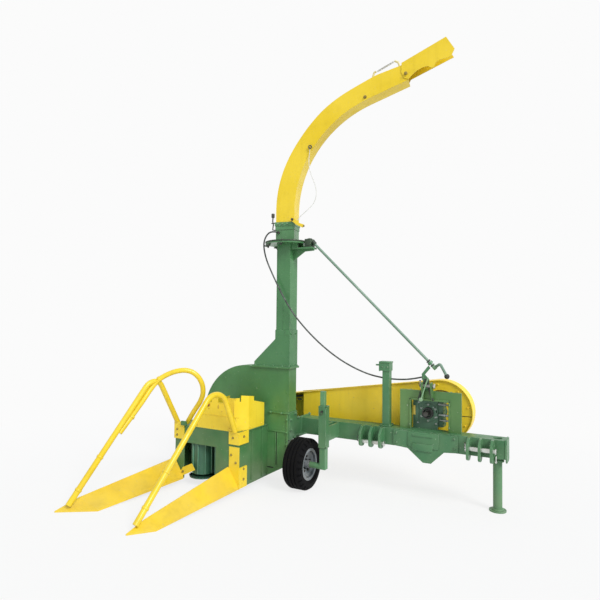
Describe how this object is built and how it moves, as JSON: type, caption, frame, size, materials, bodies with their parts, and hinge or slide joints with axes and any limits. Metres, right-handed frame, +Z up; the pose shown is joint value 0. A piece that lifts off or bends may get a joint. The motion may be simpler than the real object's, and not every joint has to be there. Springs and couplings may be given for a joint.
{
  "type": "mounted forage harvester",
  "caption": "Single-row forage harvester for a three-point hitch: crop dividers, feed header, rotor casing, belt drive and a tall swivelling spout.",
  "frame": {"origin": "middle of the bounding box's footprint, on the ground", "axes": "+X is the travel direction, +Y to the left of it, +Z up"},
  "size_m": [1.802, 2.6, 3.3523],
  "materials": {
    "green_paint": "gloss enamel",
    "yellow_paint": "gloss enamel",
    "light_green_paint": "enamel",
    "cast_grey": "painted casting",
    "bright_steel": "zinc plated",
    "dark_steel": "worn",
    "grey_paint": "enamel",
    "tyre": "moulded",
    "belt_rubber": "matt",
    "black_plastic": "matt",
    "cable_sheath": "satin",
    "white_cord": "braided"
  },
  "bodies": {
    "frame": {"arch_left": "yellow_paint", "arch_right": "yellow_paint", "beam_end_cap": "green_paint", "beam_flange": "green_paint", "bearing_tube": "green_paint", "belt_guard_front": "yellow_paint", "belt_guard_tray": "yellow_paint", "casing_back": "green_paint", "casing_band": "green_paint", "casing_front": "green_paint", "casing_skid": "green_paint", "chute_tower": "green_paint", "chute_transition": "green_paint", "control_cable": "cable_sheath", "corner_bracket_left": "yellow_paint", "corner_bracket_right": "yellow_paint", "crank_support": "light_green_paint", "divider_left": "yellow_paint", "divider_right": "yellow_paint", "drive_belts": "belt_rubber", "drum_gearcase": "cast_grey", "feeder_box": "green_paint", "front_plate": "green_paint", "gearbox": "green_paint", "gearbox_mast": "green_paint", "guard_brackets": "yellow_paint", "guide_hoop": "yellow_paint", "header_cover": "yellow_paint", "hitch_ears_left": "green_paint", "hitch_ears_right": "green_paint", "hitch_pin_left": "bright_steel", "hitch_pin_right": "bright_steel", "main_beam": "green_paint", "pto_shield": "black_plastic", "ring_seat": "green_paint", "stand_socket": "green_paint", "support_post": "green_paint", "top_link_ears": "green_paint", "top_link_pin": "bright_steel", "wheel_sleeve": "green_paint", "worm_box": "green_paint"},
    "pto": {"pto_shaft": "dark_steel"},
    "drive_pulley": {"drive_pulley": "cast_grey"},
    "rotor": {"chopping_rotor": "dark_steel", "driven_pulley": "cast_grey"},
    "crank": {"crank_rod": "green_paint", "crank_knob": "black_plastic"},
    "spout": {"turn_ring": "green_paint", "spout_collar": "green_paint", "spout": "yellow_paint", "pull_cord": "white_cord"},
    "deflector": {"deflector": "yellow_paint"},
    "feed_drum_left": {"feed_drum_left": "green_paint"},
    "feed_drum_right": {"feed_drum_right": "green_paint"},
    "wheel_leg": {"wheel_leg": "green_paint"},
    "wheel": {"wheel_rim": "grey_paint", "wheel_tyre": "tyre"},
    "parking_stand": {"parking_stand": "green_paint"}
  },
  "joints": [
    {"name": "rotor_spin", "type": "hinge", "parent": "frame", "child": "rotor", "pos_m": [-0.541, -0.66, 0.47], "axis": [1, 0, 0], "continuous": true},
    {"name": "drive_pulley_spin", "type": "hinge", "parent": "frame", "child": "drive_pulley", "pos_m": [-0.841, 0.813, 0.608], "axis": [1, 0, 0], "continuous": true},
    {"name": "pto_spin", "type": "hinge", "parent": "frame", "child": "pto", "pos_m": [-0.641, 0.75, 0.608], "axis": [1, 0, 0], "continuous": true},
    {"name": "feed_drum_left_spin", "type": "hinge", "parent": "frame", "child": "feed_drum_left", "pos_m": [-0.101, -0.635, 0.2], "axis": [0, 0, 1], "continuous": true},
    {"name": "feed_drum_right_spin", "type": "hinge", "parent": "frame", "child": "feed_drum_right", "pos_m": [-0.101, -0.861, 0.2], "axis": [0, 0, 1], "continuous": true},
    {"name": "spout_swivel", "type": "hinge", "parent": "frame", "child": "spout", "pos_m": [-0.4485, -0.326, 1.883], "axis": [0, 0, 1], "range_deg": [-120, 120]},
    {"name": "deflector_hinge", "type": "hinge", "parent": "spout", "child": "deflector", "pos_m": [-0.64311, 0.58955, 3.113], "axis": [-0.9781, -0.2079, 0], "range_deg": [0, 55]},
    {"name": "crank_spin", "type": "hinge", "parent": "frame", "child": "crank", "pos_m": [-0.671, 0.797, 0.94], "axis": [-0.167, 0.6785, -0.7153], "continuous": true},
    {"name": "wheel_leg_slide", "type": "slide", "parent": "frame", "child": "wheel_leg", "axis": [0, 0, 1], "range_m": [-0.08, 0.04]},
    {"name": "wheel_spin", "type": "hinge", "parent": "wheel_leg", "child": "wheel", "pos_m": [-0.371, -0.129, 0.19], "axis": [0, 1, 0], "continuous": true},
    {"name": "stand_slide", "type": "slide", "parent": "frame", "child": "parking_stand", "axis": [0, 0, 1], "range_m": [0, 0.3]}
  ],
  "couplings": [
    {"joint": "drive_pulley_spin", "follows": "rotor_spin", "ratio": 0.52632},
    {"joint": "pto_spin", "follows": "rotor_spin", "ratio": -0.35088},
    {"joint": "feed_drum_left_spin", "follows": "rotor_spin", "ratio": -0.12},
    {"joint": "feed_drum_right_spin", "follows": "rotor_spin", "ratio": 0.12},
    {"joint": "crank_spin", "follows": "spout_swivel", "ratio": 12}
  ]
}
